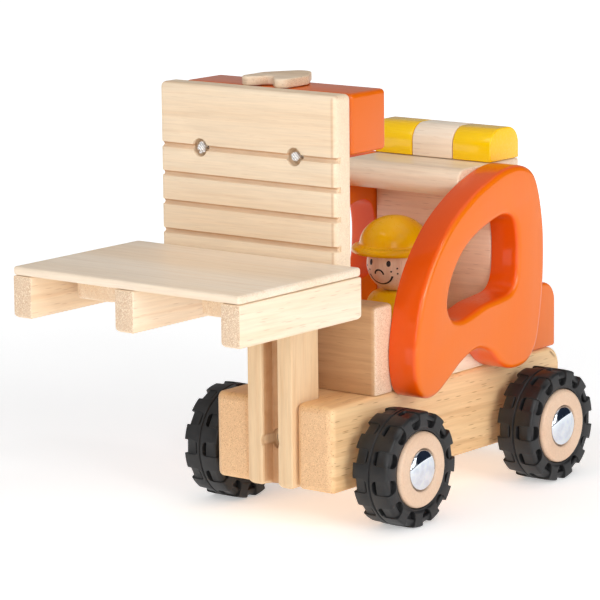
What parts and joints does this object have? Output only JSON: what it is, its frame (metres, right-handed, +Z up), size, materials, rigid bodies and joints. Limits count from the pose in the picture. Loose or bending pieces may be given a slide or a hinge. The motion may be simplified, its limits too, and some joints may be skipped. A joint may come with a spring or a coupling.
{
  "type": "toy forklift",
  "caption": "Wooden toy forklift with a hand-wound fork carriage on a grooved mast, a loose pallet, an open cab with a peg driver and rubber-tyred wheels.",
  "frame": {"origin": "centre of the box round the whole toy, on the floor", "axes": "+X to the vehicle's left, -Y forwards where the forks point, +Z up"},
  "size_m": [0.1196, 0.2654, 0.1917],
  "materials": {
    "rubberwood": "satin",
    "pale_wood": "satin",
    "orange_paint": "gloss paint on wood",
    "yellow_paint": "gloss paint on wood",
    "black_rubber": "matte, treaded",
    "chrome_steel": "polished",
    "plain_steel": "plain",
    "white_cord": "braided"
  },
  "bodies": {
    "chassis": {"chassis": "rubberwood", "mast": "pale_wood", "mast_screw": "plain_steel", "head_block": "orange_paint", "guide_pin_left": "plain_steel", "guide_pin_right": "plain_steel", "dash_block": "rubberwood", "cab_floor": "rubberwood", "rear_wall": "pale_wood", "rear_block": "orange_paint", "roof": "pale_wood", "light_bar_left": "yellow_paint", "light_bar_middle": "pale_wood", "light_bar_right": "yellow_paint", "side_panel_left": "orange_paint", "side_panel_right": "orange_paint", "front_axle": "plain_steel", "rear_axle": "plain_steel", "axle_cap_front_left": "chrome_steel", "axle_cap_front_right": "chrome_steel", "axle_cap_rear_left": "chrome_steel", "axle_cap_rear_right": "chrome_steel", "lift_cord_left": "white_cord", "lift_cord_right": "white_cord"},
    "carriage": {"backrest_plate": "pale_wood", "guide_tongue": "pale_wood", "fork_tine_left": "pale_wood", "fork_tine_right": "pale_wood", "fork_dowel_left_inner": "pale_wood", "fork_dowel_left_outer": "pale_wood", "fork_dowel_right_inner": "pale_wood", "fork_dowel_right_outer": "pale_wood", "lift_knot_left": "white_cord", "lift_knot_right": "white_cord"},
    "winder": {"knob": "pale_wood", "winding_shaft": "pale_wood", "cord_winding": "white_cord"},
    "pallet": {"pallet_sheet": "pale_wood", "pallet_runner_left": "pale_wood", "pallet_runner_middle": "pale_wood", "pallet_runner_right": "pale_wood"},
    "driver": {"driver_body": "yellow_paint", "driver_head": "pale_wood", "driver_helmet": "yellow_paint"},
    "wheel_front_left": {"hub_front_left": "pale_wood", "tyre_front_left": "black_rubber"},
    "wheel_front_right": {"hub_front_right": "pale_wood", "tyre_front_right": "black_rubber"},
    "wheel_rear_left": {"hub_rear_left": "pale_wood", "tyre_rear_left": "black_rubber"},
    "wheel_rear_right": {"hub_rear_right": "pale_wood", "tyre_rear_right": "black_rubber"}
  },
  "joints": [
    {"name": "carriage_lift", "type": "slide", "parent": "chassis", "child": "carriage", "axis": [0, 0, 1], "range_m": [-0.095, 0], "deforming": ["lift_cord_left", "lift_cord_right"]},
    {"name": "knob_turn", "type": "hinge", "parent": "chassis", "child": "winder", "pos_m": [0, -0.0274, 0.1875], "axis": [0, 0, 1], "range_deg": [-1088.63, 0]},
    {"name": "pallet_slide_off", "type": "slide", "parent": "carriage", "child": "pallet", "axis": [0, -1, 0], "range_m": [0, 0.065]},
    {"name": "driver_lift_out", "type": "slide", "parent": "chassis", "child": "driver", "axis": [0, 0, 1], "range_m": [0, 0.0085]},
    {"name": "front_left_wheel_spin", "type": "hinge", "parent": "chassis", "child": "wheel_front_left", "pos_m": [0.045, -0.006, 0.025], "axis": [1, 0, 0], "continuous": true},
    {"name": "front_right_wheel_spin", "type": "hinge", "parent": "chassis", "child": "wheel_front_right", "pos_m": [-0.045, -0.006, 0.025], "axis": [1, 0, 0], "continuous": true},
    {"name": "rear_left_wheel_spin", "type": "hinge", "parent": "chassis", "child": "wheel_rear_left", "pos_m": [0.045, 0.1, 0.025], "axis": [1, 0, 0], "continuous": true},
    {"name": "rear_right_wheel_spin", "type": "hinge", "parent": "chassis", "child": "wheel_rear_right", "pos_m": [-0.045, 0.1, 0.025], "axis": [1, 0, 0], "continuous": true}
  ],
  "couplings": [
    {"joint": "knob_turn", "follows": "carriage_lift", "rad_per_m": 200}
  ]
}
